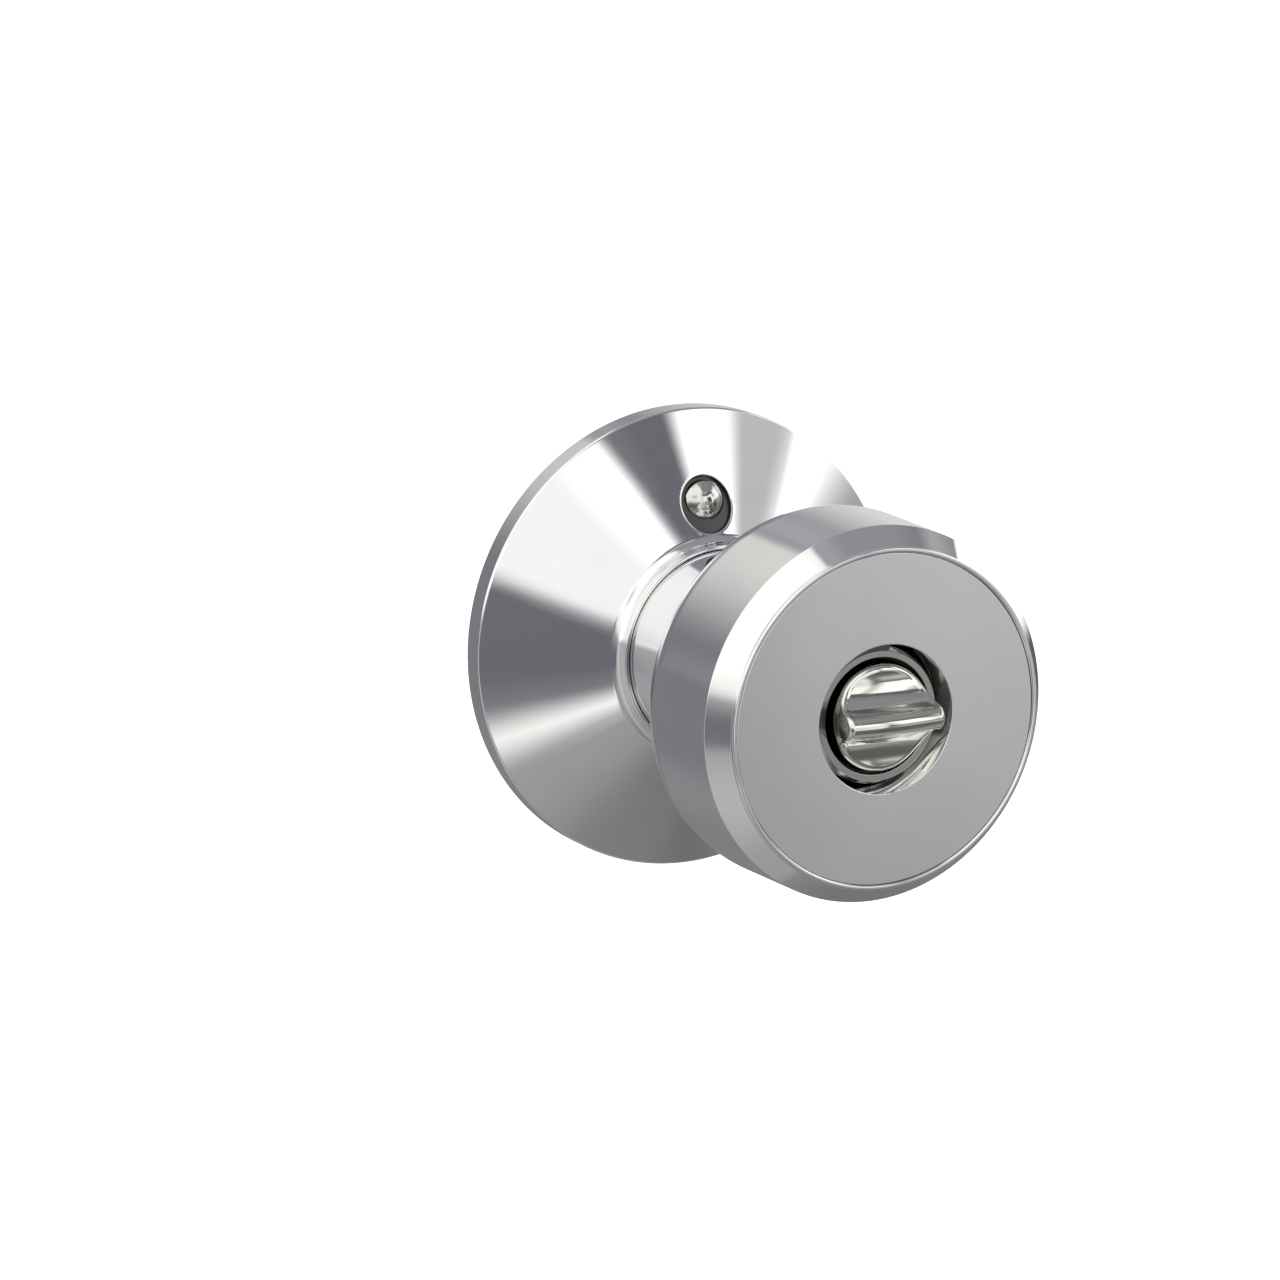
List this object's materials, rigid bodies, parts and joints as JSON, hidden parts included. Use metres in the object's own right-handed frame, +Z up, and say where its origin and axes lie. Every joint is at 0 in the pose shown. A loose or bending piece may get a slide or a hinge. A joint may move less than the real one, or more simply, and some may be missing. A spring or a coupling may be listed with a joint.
{
  "type": "keyed entry knob lock, inside half",
  "caption": "Round polished chrome door knob with a turn button, on a conical rose with screws, a spring cage, a sprung spindle and a bar that works the door's lock.",
  "frame": {"origin": "on the knob's axis, in the plane of the door face that the rose rests on", "axes": "+Y into the door along the knob's axis, +Z up, +X to the right as seen from the hand"},
  "size_m": [0.066, 0.1055, 0.066],
  "materials": {
    "polished_chrome": "bright polished chrome plate",
    "bolt_chrome": "chrome-plated steel screw",
    "button_chrome": "polished chrome plate, slightly warmer",
    "die_cast_zinc": "die-cast zinc alloy, as cast",
    "plated_steel": "zinc-plated steel",
    "spring_steel": "oiled spring steel",
    "bush_brass": "turned brass"
  },
  "bodies": {
    "rose_body": {"rose": "polished_chrome", "mounting_plate": "die_cast_zinc", "spindle_bush": "bush_brass", "spring_cage": "plated_steel", "cage_rivets": "plated_steel", "return_spring": "spring_steel", "through_bolt_top": "bolt_chrome", "through_bolt_bottom": "bolt_chrome"},
    "knob_body": {"knob_shell": "polished_chrome", "knob_face": "polished_chrome", "knob_core": "die_cast_zinc", "knob_sleeve": "plated_steel", "button_sleeve": "bush_brass", "spring_washer": "spring_steel", "spindle": "plated_steel", "driver_plate": "plated_steel", "thrust_washer": "bush_brass", "snap_ring": "spring_steel", "catch_spring": "spring_steel"},
    "button_body": {"turn_button": "button_chrome", "button_clip": "spring_steel", "lock_bar": "plated_steel"},
    "catch_body": {"knob_catch": "spring_steel"}
  },
  "joints": [
    {"name": "knob_turn", "type": "hinge", "parent": "rose_body", "child": "knob_body", "pos_m": [0, 0, 0], "axis": [0, 1, 0], "range_deg": [-60, 60], "stiffness_Nm_per_rad": 0.5, "deforming": ["return_spring"]},
    {"name": "button_turn", "type": "hinge", "parent": "knob_body", "child": "button_body", "pos_m": [0, -0.05, 0], "axis": [0, 1, 0], "range_deg": [0, 90]},
    {"name": "catch_press", "type": "slide", "parent": "knob_body", "child": "catch_body", "axis": [0, 0, 1], "range_m": [0, 0.0024], "stiffness_N_per_m": 800, "deforming": ["catch_spring"]}
  ]
}
